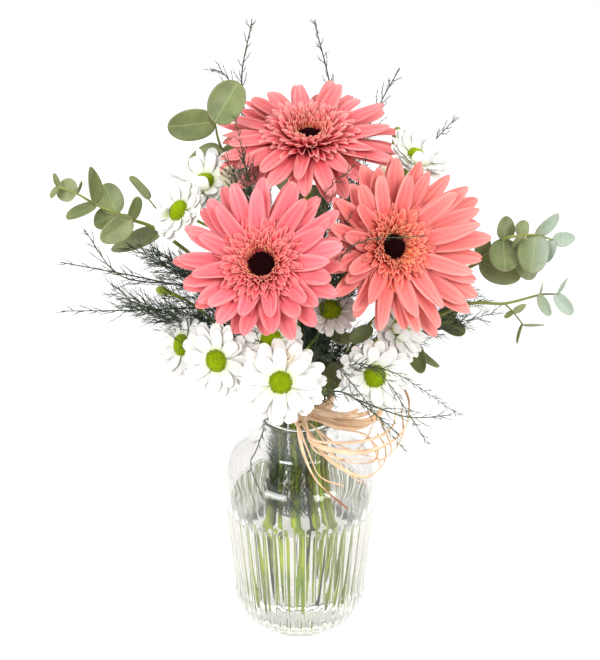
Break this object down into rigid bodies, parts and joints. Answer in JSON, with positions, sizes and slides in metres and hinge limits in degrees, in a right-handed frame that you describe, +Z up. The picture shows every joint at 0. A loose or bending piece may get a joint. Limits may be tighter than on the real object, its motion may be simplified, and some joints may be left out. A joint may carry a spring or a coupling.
{
  "type": "gerbera bouquet in a glass vase",
  "caption": "Coral gerberas with white daisies, eucalyptus and fern, tied with raffia and standing in water in a ribbed clear glass vase.",
  "frame": {"origin": "centre of the vase's underside, on the surface that it stands on", "axes": "+Z up along the vase's axis; the bouquet's front, which its flowers face, looks along -Y"},
  "size_m": [0.3586, 0.2397, 0.4553],
  "materials": {
    "glass": "clear glass, smooth and polished",
    "water": "clear water",
    "coral_petal": "soft matt petal, finely veined along its length",
    "crown": "soft matt florets, pink at the base and peach at the tip",
    "dark_disc": "velvety, nearly black maroon",
    "white_petal": "soft matt white petal",
    "green_disc": "lime green, finely beaded",
    "flower_stem": "fresh green stem, satin",
    "spray_stem": "fresh green stem, satin",
    "eucalyptus": "grey-green, waxy bloom",
    "fern": "dark green, matt",
    "raffia": "dry fibre, matt"
  },
  "bodies": {
    "root": {"daisy_back_left_disc": "green_disc", "daisy_back_left_petals": "white_petal", "daisy_back_right_disc": "green_disc", "daisy_back_right_petals": "white_petal", "daisy_far_left_disc": "green_disc", "daisy_far_left_petals": "white_petal", "daisy_front_disc": "green_disc", "daisy_front_petals": "white_petal", "daisy_front_right_disc": "green_disc", "daisy_front_right_petals": "white_petal", "daisy_low_left_disc": "green_disc", "daisy_low_left_petals": "white_petal", "daisy_low_right_disc": "green_disc", "daisy_low_right_petals": "white_petal", "daisy_middle_disc": "green_disc", "daisy_middle_petals": "white_petal", "daisy_side_left_disc": "green_disc", "daisy_side_left_petals": "white_petal", "daisy_spray_back": "spray_stem", "daisy_spray_front": "spray_stem", "daisy_spray_left": "spray_stem", "daisy_spray_right": "spray_stem", "daisy_spray_upper_left": "spray_stem", "daisy_spray_upper_right": "spray_stem", "daisy_under_left_disc": "green_disc", "daisy_under_left_petals": "white_petal", "daisy_upper_left_disc": "green_disc", "daisy_upper_left_petals": "white_petal", "daisy_upper_right_disc": "green_disc", "daisy_upper_right_petals": "white_petal", "eucalyptus_back": "eucalyptus", "eucalyptus_front": "eucalyptus", "eucalyptus_left": "eucalyptus", "eucalyptus_low_right": "eucalyptus", "eucalyptus_right": "eucalyptus", "eucalyptus_under_right": "eucalyptus", "eucalyptus_upper_left": "eucalyptus", "fern_left": "fern", "fern_low_right": "fern", "fern_top_left": "fern", "fern_top_right": "fern", "gerbera_left_crown": "crown", "gerbera_left_disc": "dark_disc", "gerbera_left_petals": "coral_petal", "gerbera_left_stem": "flower_stem", "gerbera_right_crown": "crown", "gerbera_right_disc": "dark_disc", "gerbera_right_petals": "coral_petal", "gerbera_right_stem": "flower_stem", "gerbera_top_crown": "crown", "gerbera_top_disc": "dark_disc", "gerbera_top_petals": "coral_petal", "gerbera_top_stem": "flower_stem", "raffia_band_loop": "raffia", "raffia_low_loop": "raffia", "raffia_tail": "raffia", "raffia_wide_loop": "raffia", "raffia_wrap": "raffia", "vase": "glass", "water": "water"}
  },
  "joints": []
}
